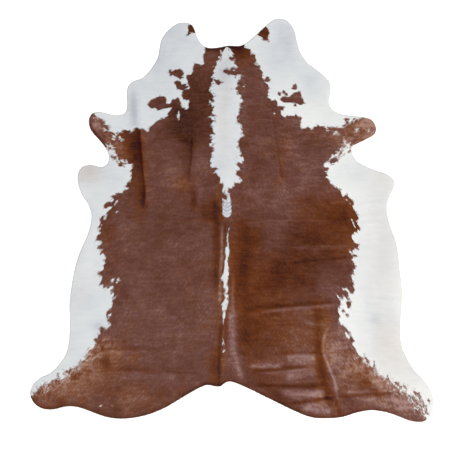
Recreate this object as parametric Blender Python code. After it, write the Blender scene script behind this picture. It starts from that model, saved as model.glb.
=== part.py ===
"""A cowhide rug: one whole hide, tanned with its hair on, laid out flat with its hair side up.

The neck points to +Y. The underside lies on Z = 0 and lifts off it only under the folds that
the hide keeps from being packed. The chart below is in hundredths of the hide's width, from
the middle of the hide.
"""

import math

import bmesh
import bpy
from mathutils import Vector
from mathutils.geometry import delaunay_2d_cdt

# Driving dimensions, in metres.
WIDTH = 2.20  # from the left hind foot to the right one
LEATHER = 0.002  # the tanned skin
HAIR = 0.002  # the short coat, which lies flat on the skin
UNIT = WIDTH / 100  # one step of the chart

# Spacing of the surface's points, in metres.
EDGE_STEP = 0.028  # along the cut edge
FOLD_STEP = 0.036  # along a fold
FLAT_STEP = 0.105  # where the hide lies flat
FOLD_ROWS = (-1.0, -0.5, 0.0, 0.5, 1.0)  # rows of points across a fold, in half widths
CLEARANCE = 0.45  # least gap between two points, as a share of their spacing

# The cut edge, clockwise from the left side of the neck, seen from above: section, (x, y) ...
CUT_EDGE = {
    "left cheek": ((-17.2, 45.3), (-14.1, 48.5), (-11.8, 49.1), (-9.9, 48.5), (-8.4, 45.0)),
    "neck cut": ((-7.3, 43.6), (-6.0, 42.9), (-3.7, 42.9), (-1.0, 43.4), (2.0, 43.4)),
    "right cheek": ((3.7, 44.2), (10.4, 49.8), (12.4, 50.0), (14.1, 49.2), (15.3, 47.3)),
    "right shoulder": (
        (16.8, 42.0), (18.4, 39.5), (23.0, 35.7), (24.3, 33.9), (24.3, 31.7), (23.9, 29.6), (24.6, 27.8),
    ),
    "right foreleg": ((26.7, 26.5), (34.4, 25.1), (35.5, 23.6), (35.5, 21.8), (31.2, 19.2)),
    "right armpit": ((29.8, 18.4), (29.7, 16.9), (30.9, 14.8), (33.7, 13.2)),
    "right elbow": ((39.1, 11.0), (40.2, 9.4), (38.6, 5.1), (38.3, 2.7)),
    "right flank": ((39.1, -1.1), (40.7, -5.6), (41.6, -12.8), (42.1, -17.2), (41.9, -30.3)),
    "right hind shank": ((44.8, -36.5), (47.3, -39.3), (49.3, -42.2)),
    "right hind foot": ((50.0, -45.4), (49.3, -47.9), (47.6, -49.6), (45.0, -49.7)),
    "right thigh": (
        (38.6, -47.5), (34.6, -46.9), (31.2, -47.4), (27.2, -48.6), (23.0, -48.9), (19.1, -48.5),
    ),
    "tail root": ((-0.5, -39.8), (-1.8, -40.2), (-2.9, -41.0), (-4.6, -40.9), (-6.4, -40.7)),
    "left thigh": (
        (-17.3, -46.6), (-21.6, -48.2), (-26.8, -49.0), (-31.0, -48.6), (-38.4, -46.1), (-41.1, -46.0),
    ),
    "left hind foot": ((-44.3, -46.7), (-47.2, -46.4), (-49.2, -44.9), (-50.0, -42.7)),
    "left hind shank": ((-49.2, -40.5), (-47.3, -38.8), (-44.8, -37.6)),
    "left flank": ((-41.0, -32.7), (-40.1, -24.6), (-40.2, -20.4), (-38.5, -10.3), (-35.3, -2.1)),
    "left elbow": ((-34.8, 1.3), (-35.5, 3.9), (-37.0, 6.2), (-38.1, 9.3), (-38.1, 11.7), (-37.0, 13.4)),
    "left armpit": ((-34.7, 13.8), (-32.2, 13.3), (-30.8, 14.2), (-30.5, 16.0)),
    "left foreleg": ((-31.5, 18.3), (-35.1, 22.8), (-35.4, 25.1), (-34.6, 26.6), (-32.4, 26.9), (-29.5, 26.2)),
    "left shoulder": ((-27.2, 26.3), (-26.1, 27.3), (-25.8, 33.0), (-24.5, 34.5), (-22.0, 35.5), (-18.6, 39.9)),
}

# The folds: name, rise and half width in metres, and the (x, y) ... that the crest passes.
FOLDS = (
    ("spine", 0.009, 0.045, ((-1.2, 7.5), (-1.5, -2.4), (-1.6, -17.2), (-2.0, -29.6), (-1.9, -38.6))),
    ("left shoulder", 0.009, 0.042, ((-24.3, 32.4), (-23.0, 22.1), (-21.7, 9.6), (-22.0, 1.8))),
    ("right shoulder", 0.008, 0.040, ((9.5, 29.7), (10.3, 22.4), (11.9, 11.6), (12.9, 6.5))),
    ("right thigh", 0.010, 0.045, ((20.2, -17.0), (21.8, -28.4), (22.2, -34.0), (26.0, -47.4))),
    ("left neck", 0.005, 0.030, ((-9.7, 22.0), (-10.3, 13.0), (-10.8, 7.0))),
    ("withers", 0.004, 0.030, ((-14.5, 20.2), (-9.5, 19.9), (-4.0, 20.3))),
    ("belly", 0.004, 0.030, ((-29.0, 0.2), (-12.0, 0.0), (12.0, 0.3), (29.0, 0.2))),
    ("right loin", 0.006, 0.030, ((2.0, -22.9), (11.9, -21.9), (27.0, -20.7))),
    ("right rump", 0.005, 0.030, ((6.0, -38.2), (13.0, -37.4), (20.8, -36.3))),
    ("left stifle", 0.006, 0.032, ((-34.5, -32.6), (-27.0, -32.9), (-19.0, -32.9))),
    ("left rump", 0.004, 0.030, ((-28.5, -37.2), (-18.0, -36.6), (-8.0, -36.7))),
)

HAIR_BROWN = (0.115, 0.042, 0.024, 1.0)  # the coat's main colour, a chestnut brown
HAIR_ROUGHNESS = 0.55


def chart_point(across, along):
    """A point of the chart as a place on the floor."""
    return Vector((across * UNIT, along * UNIT))


def spline(points, step, closed=False):
    """Points about a step apart on a smooth curve through the given ones.

    The curve is a centripetal Catmull-Rom spline, which makes no loops where points lie close.
    """
    if closed:
        knots = [points[-1], *points, points[0], points[1]]
    else:
        knots = [2 * points[0] - points[1], *points, 2 * points[-1] - points[-2]]
    curve = []
    for before, start, end, after in zip(knots, knots[1:], knots[2:], knots[3:]):
        t_start = math.sqrt((start - before).length)
        t_end = t_start + math.sqrt((end - start).length)
        t_after = t_end + math.sqrt((after - end).length)
        count = math.ceil((end - start).length / step)
        for index in range(count):
            t = t_start + (t_end - t_start) * index / count
            left = before.lerp(start, t / t_start)
            middle = start.lerp(end, (t - t_start) / (t_end - t_start))
            right = end.lerp(after, (t - t_end) / (t_after - t_end))
            first = left.lerp(middle, t / t_end)
            second = middle.lerp(right, (t - t_start) / (t_after - t_start))
            curve.append(first.lerp(second, (t - t_start) / (t_end - t_start)))
    if not closed:
        curve.append(points[-1])
    return curve


def cut_edge():
    """The cut edge as a closed curve, with the middle of its box at the origin."""
    landmarks = [chart_point(*point) for section in CUT_EDGE.values() for point in section]
    curve = spline(landmarks, EDGE_STEP, closed=True)
    lowest = Vector(min(point[axis] for point in curve) for axis in range(2))
    highest = Vector(max(point[axis] for point in curve) for axis in range(2))
    return [point - (lowest + highest) / 2 for point in curve]


def inside(point, edge):
    """Whether a point lies within the cut edge: a ray from it crosses the edge an odd number of times."""
    crossings = 0
    for start, end in zip(edge, edge[1:] + edge[:1]):
        if (start.y > point.y) != (end.y > point.y):
            across = start.x + (point.y - start.y) * (end.x - start.x) / (end.y - start.y)
            crossings += across > point.x
    return crossings % 2 == 1


def crest(fold_run):
    """The line along the top of a fold."""
    return spline([chart_point(*point) for point in fold_run], FOLD_STEP)


def fold_rows(half_width, fold_run):
    """Rows of points that follow a fold, from one foot over its crest to the other foot."""
    line = crest(fold_run)
    for index, point in enumerate(line):
        along = line[min(index + 1, len(line) - 1)] - line[max(index - 1, 0)]
        sideways = Vector((-along.y, along.x)).normalized()
        for row in FOLD_ROWS:
            yield point + sideways * row * half_width


def flat_grid(edge):
    """A grid of equal triangles over the hide, for where it lies flat."""
    row_step = FLAT_STEP * math.sqrt(3) / 2
    reach = max(max(abs(point.x), abs(point.y)) for point in edge)
    rows = math.ceil(reach / row_step)
    columns = math.ceil(reach / FLAT_STEP) + 1
    for row in range(-rows, rows + 1):
        for column in range(-columns, columns + 1):
            yield Vector(((column + row % 2 / 2) * FLAT_STEP, row * row_step))


def surface_points(edge):
    """The cut edge's points, then those of the folds, then the flat grid's, none too close to another."""
    points = list(edge)

    def add(candidates, spacing):
        for point in candidates:
            near = any((point - other).length < spacing * CLEARANCE for other in points)
            if not near and inside(point, edge):
                points.append(point)

    for _name, _rise, half_width, fold_run in FOLDS:
        add(fold_rows(half_width, fold_run), FOLD_STEP)
    add(flat_grid(edge), FLAT_STEP)
    return points


def place_along(point, line):
    """How far a point lies from a line, and how far the nearest place on it is from the line's nearer end."""
    nearest = math.inf
    walked = 0.0
    place = 0.0
    for start, end in zip(line, line[1:]):
        span = end - start
        share = min(max((point - start).dot(span) / span.length_squared, 0.0), 1.0)
        distance = (point - start.lerp(end, share)).length
        if distance < nearest:
            nearest = distance
            place = walked + share * span.length
        walked += span.length
    return nearest, min(place, walked - place)


def lift(point, crests):
    """How far the hide stands off the floor at a point: a soft ridge at each fold, dying out at its ends."""
    height = 0.0
    for (_name, rise, half_width, _run), line in zip(FOLDS, crests):
        distance, from_end = place_along(point, line)
        if distance < half_width:
            ridge = (1 + math.cos(math.pi * distance / half_width)) / 2
            ending = min(from_end / (2 * half_width), 1.0)
            height = max(height, rise * ridge * ending)
    return height


def hide_mesh():
    """The hide's underside, a single layer of triangles that face up."""
    edge = cut_edge()
    loop = list(range(len(edge)))
    triangles_within = 1
    points, _edges, faces = delaunay_2d_cdt(surface_points(edge), [], [loop], triangles_within, 1e-6)[:3]
    crests = [crest(fold_run) for _name, _rise, _half_width, fold_run in FOLDS]

    work = bmesh.new()
    vertices = [work.verts.new((point.x, point.y, lift(point, crests))) for point in points]
    for face in faces:
        work.faces.new([vertices[index] for index in face])
    bmesh.ops.recalc_face_normals(work, faces=work.faces)
    if sum(face.normal.z for face in work.faces) < 0:
        bmesh.ops.reverse_faces(work, faces=work.faces)
    mesh = bpy.data.meshes.new("hide")
    work.to_mesh(mesh)
    work.free()
    return mesh


def coat_material():
    """The brown coat that covers most of the hide."""
    material = bpy.data.materials.new("cowhide_coat")
    material.use_nodes = True
    shader = material.node_tree.nodes["Principled BSDF"]
    shader.inputs["Base Color"].default_value = HAIR_BROWN
    shader.inputs["Roughness"].default_value = HAIR_ROUGHNESS
    shader.inputs["Metallic"].default_value = 0.0
    material.diffuse_color = HAIR_BROWN
    return material


def build_hide():
    """The hide: its underside, thickened upwards by the skin and the coat."""
    mesh = hide_mesh()
    mesh.materials.append(coat_material())
    hide = bpy.data.objects.new("hide", mesh)
    bpy.context.scene.collection.objects.link(hide)
    thicken = hide.modifiers.new("leather_and_hair", "SOLIDIFY")
    thicken.thickness = LEATHER + HAIR
    thicken.offset = 1.0
    mesh.shade_smooth()
    mesh.set_sharp_from_angle(angle=math.radians(40))
    return hide


def main():
    for old in list(bpy.data.objects):
        bpy.data.objects.remove(old, do_unlink=True)
    build_hide()


main()
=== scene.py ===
"""A brown and white cowhide rug with its hair on, laid flat with its hair side up and seen from
straight above, with its neck at the top.

The CAD part gives the cut edge and the folds. This script adds the coat, lock by lock, its
markings and colours, the fine creases, and the suede of the flesh side. As in the part, the chart
is in hundredths of the hide's width, from the middle of the hide, with +Y towards the neck.
Outlines and runs are drawn on it, and written as x, y, x, y ... in tenths of a unit.
"""

import math

import bpy
import numpy as np
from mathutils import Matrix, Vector
from mathutils.bvhtree import BVHTree
from mathutils.geometry import delaunay_2d_cdt


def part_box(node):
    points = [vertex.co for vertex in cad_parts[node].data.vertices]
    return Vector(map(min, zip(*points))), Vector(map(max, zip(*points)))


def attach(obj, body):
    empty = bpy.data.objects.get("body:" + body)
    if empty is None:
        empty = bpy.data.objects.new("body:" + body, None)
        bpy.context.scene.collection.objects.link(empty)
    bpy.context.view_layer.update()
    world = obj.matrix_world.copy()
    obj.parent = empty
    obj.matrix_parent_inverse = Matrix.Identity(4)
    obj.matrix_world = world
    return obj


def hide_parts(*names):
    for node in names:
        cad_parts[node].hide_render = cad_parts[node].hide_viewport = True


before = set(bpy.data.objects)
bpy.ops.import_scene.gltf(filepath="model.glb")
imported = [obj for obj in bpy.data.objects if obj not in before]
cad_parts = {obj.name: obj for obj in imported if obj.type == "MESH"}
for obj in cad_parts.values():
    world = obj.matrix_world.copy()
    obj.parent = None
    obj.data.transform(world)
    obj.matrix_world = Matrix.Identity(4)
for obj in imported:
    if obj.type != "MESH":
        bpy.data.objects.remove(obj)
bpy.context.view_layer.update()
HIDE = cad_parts["hide"]
LOW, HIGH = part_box("hide")
UNIT = (HIGH.x - LOW.x) / 100

# The skin and its coat, in metres.
CAD_DEPTH = 0.004  # skin and coat together, in the part
SKIN = 0.0021  # the tanned skin
UNDERCOAT = 0.0006  # the roots of the coat, up to which the skin piece reaches
LOCK_LENGTH, LOCK_WIDTH = 0.0205, 0.0032
SHORTEST_LOCK = 0.007
LOCK_RISE = 0.0007  # from the undercoat to a lock's tip
LOCK_GAP = 0.0042  # from one lock to the next
LOCK_INSET, ROOT_INSET = 0.0008, 0.0012  # of a lock's middle and its root from the cut edge
ROOT_DEPTH, SIDE_DEPTH = 0.0003, 0.0004  # how deep a lock's root and sides are in the undercoat
TIP_REACH = (0.0006, 0.0042)  # how far tips hang over the cut edge
LOWEST_TIP = 0.0006  # over the floor, where a tip droops past the cut edge
# How far locks vary from those sizes, least and most.
LENGTHS, WIDTHS, RISES = (0.75, 1.2), (0.75, 1.3), (0.7, 1.25)
# Where a lock is widest, behind its middle, and takes its colour, ahead of it, by share of length.
WIDEST, GROWS = 0.08, 0.14

# Spacing of points, in metres: on the skin's cut edge, top and underside, then in the charts.
RIM_STEP, TOP_STEP, UNDER_STEP = 0.0066, 0.0085, 0.022
RAY_STEP, FIELD_STEP, RUN_STEP = 0.010, 0.0036, 0.02
# The cut edge from the underside up: how far in from the outline, and how high.
RIM_INSETS, RIM_RISES = (0.0012, 0.0002, 0.0004, 0.0018), (0.0, 0.0007, SKIN, SKIN + UNDERCOAT)
HALF_SIDE = 1.16  # of the square that the charts cover
EDGE_REACH, MARK_REACH = 0.03, 0.05  # how far from the cut edge and from a mark depth is measured
PAST_EDGE = 0.02  # how far the charts go past the cut edge

SPINE = -1.5  # the chart's x of the hide's spine
SPOT_SPREAD = 0.0045  # how much wider a small spot is at its hair tips than in its chart
# The small lens behind the blaze, in chart units: its middle, where it starts and ends, and half
# its width. Then its ribs' step and slant, the height above which they are brown, and how its
# locks lie, outwards and forwards.
LENS_SPINE, LENS_BACK, LENS_FRONT, LENS_HALF = -1.25, 0.8, 5.0, 1.7
LENS_PITCH, LENS_SLANT, LENS_BROWN, LENS_LIE = 0.95, 0.75, 0.78, (0.8, 0.6)

# Light and camera.
DAYLIGHT = 1.31  # how bright a white sheet of paper would be here
SHEEN = 0.006  # the part of a hair's brightness that is reflected sky
WORLD_LIGHT, WORLD_COLOUR = 0.83, (0.945, 0.975, 1.0, 1)
SUN_FROM, SUN_LIGHT, SUN_COLOUR, SUN_SPREAD = (2.2, -3.0, 3.8), 2.15, (1.0, 0.98, 0.955), 25
LAMP_FROM, LAMP_LIGHT, LAMP_COLOUR, LAMP_SIZE = (2.2, -3.0, 4.5), 115, (1.0, 0.965, 0.93), 2.6
FLOOR_SIZE, FLOOR_DROP, FLOOR_COLOUR = 14, 0.0006, (0.94, 0.94, 0.94, 1)
CAMERA, CAMERA_LENS, CAMERA_SENSOR = (-0.0112, -0.052, 5.92), 85, 36

# The brown patch's left and right margins, from the neck to the hind foot.
MARGIN_LEFT = {
    "neck": (
        -64, 457, -66, 428, -67, 416, -70, 409, -72, 402, -71, 393, -67, 389, -77, 385, -86, 388,
        -93, 389, -97, 375, -99, 366, -104, 360, -111, 362, -114, 357, -113, 349, -108, 345,
        -110, 340, -106, 334, -105, 327, -109, 325, -118, 325, -123, 316, -124, 306, -121, 300,
        -113, 298, -104, 297, -107, 290, -108, 277, -113, 276, -120, 279, -125, 284, -128, 296,
        -132, 305, -138, 305, -141, 300, -146, 302, -150, 297, -153, 288,
    ),
    "shoulder blotch": (
        -163, 291, -162, 304, -169, 308, -180, 307, -191, 302, -201, 298, -209, 286, -201, 276,
        -191, 279, -182, 272, -175, 276, -163, 278, -149, 279,
    ),
    "shoulder": (
        -154, 272, -161, 265, -157, 260, -164, 256, -173, 253, -180, 249, -191, 242, -204, 231,
        -206, 221, -213, 221, -219, 228, -224, 229, -228, 225, -231, 229, -236, 230, -240, 227,
        -241, 222, -246, 220, -250, 217, -253, 221, -259, 223, -265, 224, -271, 222, -277, 219,
        -282, 213, -287, 211,
    ),
    "foreleg": (
        -290, 208, -289, 213, -294, 218, -301, 219, -305, 222, -301, 229, -307, 231, -303, 235,
        -313, 236, -314, 242, -318, 247, -320, 252, -334, 254, -337, 258, -340, 265, -343, 270,
        -359, 273, -369, 254, -364, 221, -329, 177, -316, 176, -311, 182, -305, 176, -298, 177,
    ),
    "armpit": (
        -301, 183, -302, 186, -298, 186, -292, 177, -290, 169, -286, 163, -289, 158, -297, 159,
        -294, 154, -289, 152, -284, 157, -282, 151, -277, 148, -274, 151, -264, 144, -267, 149,
        -259, 149, -258, 143, -253, 140, -248, 138, -246, 134, -248, 129, -250, 124, -248, 114,
        -249, 106, -253, 97, -260, 93, -263, 86, -264, 82, -254, 81, -256, 77, -266, 75, -271, 70,
        -281, 68, -286, 64, -301, 61, -295, 55, -291, 51,
    ),
    "flank": (
        -296, 46, -304, 39, -306, 33, -302, 34, -297, 34, -302, 26, -311, 22, -314, 14, -321, 12,
        -324, 6, -327, 1, -324, -3, -326, -5, -330, -12, -332, -18, -326, -16, -325, -20, -329, -26,
        -326, -28, -328, -33, -333, -36, -335, -43, -336, -52, -331, -51, -325, -48, -329, -53,
        -321, -56, -330, -64, -335, -72, -325, -70, -321, -72, -326, -80, -329, -87, -324, -85,
        -319, -82, -316, -86, -313, -87, -312, -93, -317, -100, -314, -104, -318, -111, -319, -120,
        -323, -126, -329, -128, -331, -133, -324, -133, -324, -137, -320, -141, -322, -147,
        -327, -154, -330, -161, -325, -159, -316, -157, -318, -160, -319, -166, -316, -169,
        -312, -165, -309, -168, -304, -168,
    ),
    "stifle": (
        -303, -163, -294, -162, -293, -169, -299, -176, -298, -180, -292, -174, -293, -183,
        -296, -192, -282, -182, -287, -190, -294, -196, -297, -199, -296, -203, -294, -207,
        -297, -211, -300, -216, -301, -222, -308, -224, -311, -229, -313, -237, -309, -241,
        -311, -249, -306, -249, -309, -253, -300, -252, -301, -259, -307, -264, -311, -269,
        -317, -268, -322, -262, -325, -266, -329, -276, -325, -279, -329, -284, -333, -290,
    ),
    "shank": (
        -333, -296, -337, -289, -341, -295, -339, -302, -340, -310, -343, -316, -347, -319,
        -349, -317, -353, -320, -357, -326, -354, -329, -360, -331, -366, -337, -364, -343,
        -371, -347, -374, -352, -380, -355, -386, -361, -393, -366, -399, -368, -402, -366,
        -405, -371, -412, -370, -416, -378, -411, -375, -407, -379, -406, -383, -410, -386,
        -416, -390, -421, -392, -425, -393, -426, -389, -428, -384, -431, -386, -432, -391,
        -437, -391, -443, -393, -449, -397, -451, -401, -456, -405,
    ),
    "hind foot": (
        -461, -407, -463, -401, -469, -409, -473, -404, -478, -411, -479, -418, -484, -409,
        -483, -422, -489, -426, -495, -422, -493, -432, -520, -439, -520, -524,
    ),
}
MARGIN_RIGHT = {
    "neck": (
        30, 457, 30, 433, 35, 427, 44, 424, 46, 413, 56, 412, 60, 397, 57, 389, 70, 383, 70, 374,
        77, 367, 74, 356, 79, 348, 88, 338, 91, 327, 89, 314, 88, 305, 96, 300, 101, 296, 106, 300,
        111, 297, 113, 289,
    ),
    "shoulder": (
        111, 283, 119, 285, 125, 283, 133, 282, 128, 277, 127, 271, 120, 274, 121, 266, 126, 259,
        131, 253, 135, 260, 143, 258, 151, 259, 159, 263, 162, 257, 174, 256, 170, 246, 169, 236,
        170, 228, 181, 227, 189, 234, 196, 226, 207, 232, 213, 235, 219, 232, 225, 235, 229, 233,
        231, 228, 236, 231, 246, 233, 256, 231, 266, 229,
    ),
    "foreleg": (
        271, 231, 276, 236, 283, 239, 279, 243, 285, 245, 295, 244, 298, 248, 300, 252, 304, 254,
        308, 250, 315, 251, 323, 256, 346, 271, 376, 249, 376, 212, 342, 189, 310, 179, 293, 184,
        290, 189, 282, 190, 285, 194, 282, 199, 277, 198, 276, 190, 275, 186,
    ),
    "armpit": (
        284, 185, 279, 180, 273, 178, 277, 173, 270, 171, 275, 166, 262, 159, 261, 162, 265, 169,
        260, 168, 254, 162, 248, 161, 243, 157, 241, 151, 235, 147, 229, 144, 227, 134, 229, 131,
        237, 132, 240, 129, 238, 123, 231, 120, 236, 115, 237, 111, 230, 109, 236, 104, 239, 101,
        242, 93, 248, 88, 256, 82, 263, 79, 269, 73, 270, 68, 273, 61, 276, 59, 279, 63,
    ),
    "flank": (
        284, 63, 291, 56, 299, 51, 303, 47, 302, 40, 298, 36, 301, 31, 306, 24, 309, 18, 311, 10,
        313, 5, 310, 0, 310, -8, 315, -14, 319, -21, 316, -25, 312, -23, 309, -30, 304, -28,
        301, -31, 295, -39, 299, -46, 303, -52, 309, -59, 313, -60, 312, -68, 313, -73, 308, -69,
        304, -68, 300, -72, 299, -77, 301, -83, 307, -85, 311, -87, 307, -90, 301, -88, 298, -94,
        299, -102, 303, -110, 307, -120, 302, -120, 301, -127, 305, -136, 299, -132, 295, -134,
        296, -139, 297, -148, 300, -156, 302, -163, 304, -171, 302, -178, 298, -182,
    ),
    "stifle": (
        294, -178, 290, -173, 285, -169, 279, -167, 272, -167, 275, -171, 282, -173, 287, -179,
        287, -186, 288, -191, 292, -195, 289, -198, 284, -194, 279, -188, 273, -183, 275, -191,
        274, -195, 269, -191, 264, -187, 254, -180, 262, -189, 268, -196, 269, -203, 269, -209,
        266, -215, 262, -213, 261, -219, 263, -227, 269, -239, 265, -242, 264, -250, 269, -258,
        275, -261, 279, -265, 283, -267, 289, -272, 289, -282, 293, -287, 297, -289, 300, -293,
    ),
    "shank": (
        303, -299, 299, -304, 298, -307, 303, -312, 307, -320, 310, -326, 313, -332, 314, -337,
        318, -335, 325, -347, 327, -352, 334, -355, 338, -361, 342, -356, 346, -363, 349, -362,
        349, -353, 353, -355, 355, -367, 360, -374, 364, -380, 367, -385, 371, -382, 377, -387,
        380, -393, 382, -386, 385, -382, 389, -390, 393, -398, 398, -405, 402, -410,
    ),
    "hind foot": (
        408, -413, 413, -420, 419, -423, 424, -422, 430, -426, 435, -432, 442, -432, 448, -432,
        454, -436, 463, -449, 472, -461, 469, -464, 462, -458, 458, -459, 462, -466, 466, -475,
        471, -483, 477, -488, 481, -490, 490, -524,
    ),
}
# White marks inside the brown patch.
WHITE_MARKS = {
    "blaze": (
        -16, 429, -6, 428, -3, 423, -1, 419, 3, 412, 2, 409, 6, 404, 11, 399, 8, 396, 3, 390,
        6, 386, 11, 385, 13, 379, 10, 375, 6, 373, 3, 370, 0, 365, 8, 359, 13, 359, 18, 361,
        22, 360, 24, 357, 22, 352, 20, 349, 18, 345, 14, 342, 11, 339, 11, 336, 17, 336, 10, 330,
        5, 326, 12, 323, 16, 317, 16, 313, 20, 311, 23, 309, 24, 301, 28, 296, 25, 293, 22, 290,
        22, 286, 20, 281, 20, 277, 18, 274, 15, 271, 17, 264, 14, 260, 12, 256, 12, 252, 14, 248,
        12, 240, 20, 241, 23, 239, 25, 234, 25, 229, 23, 225, 25, 221, 26, 216, 29, 212, 27, 209,
        22, 206, 17, 200, 15, 195, 15, 189, 16, 184, 19, 179, 20, 173, 19, 169, 24, 165, 19, 160,
        14, 157, 21, 157, 29, 156, 27, 153, 30, 148, 27, 144, 23, 142, 18, 144, 13, 144, 11, 141,
        13, 137, 18, 133, 19, 128, 16, 124, 12, 121, 10, 116, 11, 112, 17, 111, 20, 107, 20, 103,
        24, 100, 24, 97, 20, 94, 14, 94, 8, 92, 4, 89, 6, 86, 3, 82, -3, 80, -8, 79, -11, 75,
        -11, 62, -15, 60, -19, 65, -22, 70, -23, 75, -21, 86, -24, 90, -29, 92, -30, 97, -29, 102,
        -30, 107, -35, 111, -37, 115, -42, 119, -44, 122, -42, 125, -37, 128, -38, 131, -44, 132,
        -52, 132, -56, 140, -52, 143, -54, 147, -54, 152, -51, 157, -48, 161, -51, 165, -49, 169,
        -44, 173, -43, 177, -45, 181, -50, 183, -55, 186, -61, 191, -55, 191, -49, 192, -51, 197,
        -48, 201, -55, 208, -54, 211, -49, 213, -41, 214, -42, 216, -47, 220, -48, 225, -47, 230,
        -48, 235, -51, 238, -48, 241, -48, 245, -44, 247, -49, 250, -55, 256, -48, 257, -42, 257,
        -43, 260, -48, 264, -50, 268, -49, 272, -44, 280, -46, 283, -50, 284, -51, 288, -58, 294,
        -54, 297, -50, 296, -46, 294, -44, 296, -46, 302, -46, 307, -47, 312, -49, 316, -53, 318,
        -59, 320, -56, 325, -54, 329, -51, 332, -52, 336, -48, 344, -48, 349, -49, 357, -45, 363,
        -45, 369, -47, 373, -42, 375, -45, 381, -41, 382, -38, 386, -39, 390, -38, 393, -34, 395,
        -31, 398, -30, 403, -36, 405, -32, 407, -26, 409, -27, 412, -30, 416, -28, 419, -22, 421,
        -17, 425,
    ),
    "back lens": (
        -25, 54, -22, 56, -19, 51, -13, 50, -10, 68, -5, 68, -5, 62, -5, 52, -2, 44, -4, 39, -1, 34,
        -3, 28, -1, 23, -4, 14, -10, 7, -15, 8, -22, 11, -24, 19, -23, 24, -25, 30, -23, 35,
        -25, 42, -23, 46,
    ),
    "back stripe": (
        -9, -19, -10, -28, -13, -34, -13, -46, -12, -55, -12, -61, -15, -66, -18, -74, -15, -83,
        -15, -90, -18, -100, -18, -110, -20, -122, -21, -130, -26, -138, -27, -144, -24, -150,
        -21, -156, -20, -166, -18, -174, -21, -183, -17, -190, -20, -198, -25, -207, -25, -218,
        -23, -225, -23, -240, -21, -269, -20, -246, -17, -238, -17, -229, -16, -221, -12, -213,
        -9, -203, -10, -192, -10, -184, -14, -182, -12, -177, -8, -170, -10, -162, -12, -153,
        -9, -142, -8, -132, -8, -120, -9, -110, -11, -102, -10, -95, -9, -86, -6, -78, -7, -72,
        -9, -64, -8, -59, -10, -50, -10, -40, -9, -30, -6, -24, -7, -19,
    ),
    "tail fleck high": (-24, -288, -22, -292, -20, -306, -22, -308),
    "tail fleck middle": (-24, -324, -19, -318, -17, -322, -22, -328),
    "tail fleck low": (-26, -339, -24, -339, -25, -352),
    "shoulder slit left": (-133, 279, -130, 269, -128, 260, -132, 252, -138, 258, -134, 265),
    "foreleg gap high": (-297, 209, -289, 210, -289, 206, -295, 205),
    "foreleg gap low": (-299, 203, -292, 203, -292, 198, -298, 199),
    "foreleg curl": (-283, 209, -277, 208, -273, 201, -266, 197, -274, 198, -279, 201),
    "foreleg hole": (-310, 187, -302, 186, -300, 183, -308, 181),
    "foreleg fleck left": (-318, 228, -313, 227, -313, 223, -317, 224),
    "foreleg tip fleck left": (-343, 258, -340, 257, -341, 252, -344, 253),
    "elbow slit left": (-282, 50, -287, 49, -293, 41, -293, 36, -288, 39),
    "flank slit high": (-310, 20, -315, 9, -317, 5, -312, 6, -309, 15),
    "flank fleck high": (-287, 19, -283, 24, -281, 22, -285, 17),
    "flank fleck left": (-323, -6, -321, -7, -323, -12, -325, -11),
    "flank slit left": (-290, -141, -295, -142, -303, -152, -301, -154, -293, -148),
    "flank slit inner": (-283, -141, -278, -142, -278, -150, -286, -156, -288, -152, -283, -149),
    "stifle slit left": (-299, -230, -306, -233, -310, -239, -303, -237, -299, -234),
    "thigh fleck left": (-326, -457, -321, -456, -322, -463, -326, -462),
    "thigh fleck inner": (-299, -458, -295, -458, -296, -463, -299, -461),
    "blaze wisp": (24, 334, 31, 333, 30, 329, 25, 330),
    "shoulder fleck white": (102, 267, 107, 267, 106, 262, 102, 262),
    "forearm fleck": (230, 227, 234, 227, 239, 223, 235, 221),
    "forearm fleck inner": (250, 218, 255, 218, 259, 213, 254, 213),
    "forearm gap low": (268, 177, 273, 177, 272, 172, 268, 173),
    "foreleg fleck right": (306, 225, 311, 226, 312, 222, 308, 221),
    "foreleg fleck upper": (299, 245, 303, 245, 303, 241, 300, 241),
    "foreleg tip fleck": (339, 230, 343, 229, 343, 225, 340, 225),
    "flank slit top": (282, 51, 285, 51, 294, 43, 298, 38, 293, 40, 286, 47),
    "flank slit right": (294, 4, 299, 4, 300, -2, 302, -9, 305, -17, 302, -15, 298, -5),
    "flank slit low": (289, -75, 292, -74, 299, -86, 297, -88, 292, -82),
    "stifle slit right": (279, -274, 282, -276, 288, -285, 285, -288, 280, -281),
    "stifle gap right": (285, -288, 291, -286, 291, -292, 288, -293),
}
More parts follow.
